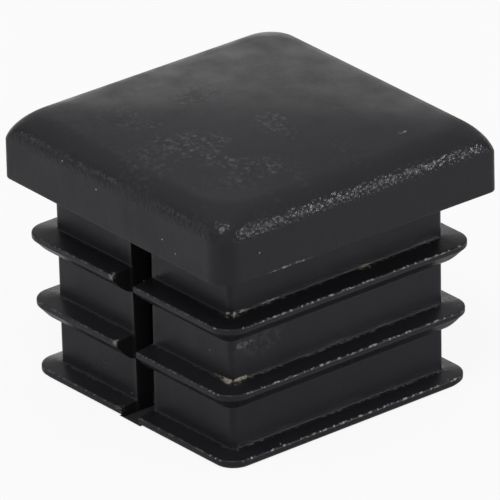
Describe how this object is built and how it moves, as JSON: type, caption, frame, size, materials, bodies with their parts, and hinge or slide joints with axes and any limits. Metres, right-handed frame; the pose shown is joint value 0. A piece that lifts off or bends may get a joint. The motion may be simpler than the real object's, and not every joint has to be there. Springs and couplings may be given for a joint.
{
  "type": "tube end cap",
  "caption": "Domed square plug in black plastic that closes the end of a square tube, with a hollow split stem ringed by barbed fins.",
  "frame": {"origin": "centre of the head's underside, in the plane that meets the tube's end", "axes": "+Z out of the tube through the domed head; X and Y square to the head's sides, with the stem's slots facing -Y and +Y"},
  "size_m": [0.025, 0.025, 0.021],
  "materials": {
    "black_plastic": "black polyethylene, fine grain on the dome, coarse spark-eroded grain round its edge, smoother on the stem and fins"
  },
  "bodies": {
    "root": {"end_cap": "black_plastic"}
  },
  "joints": []
}
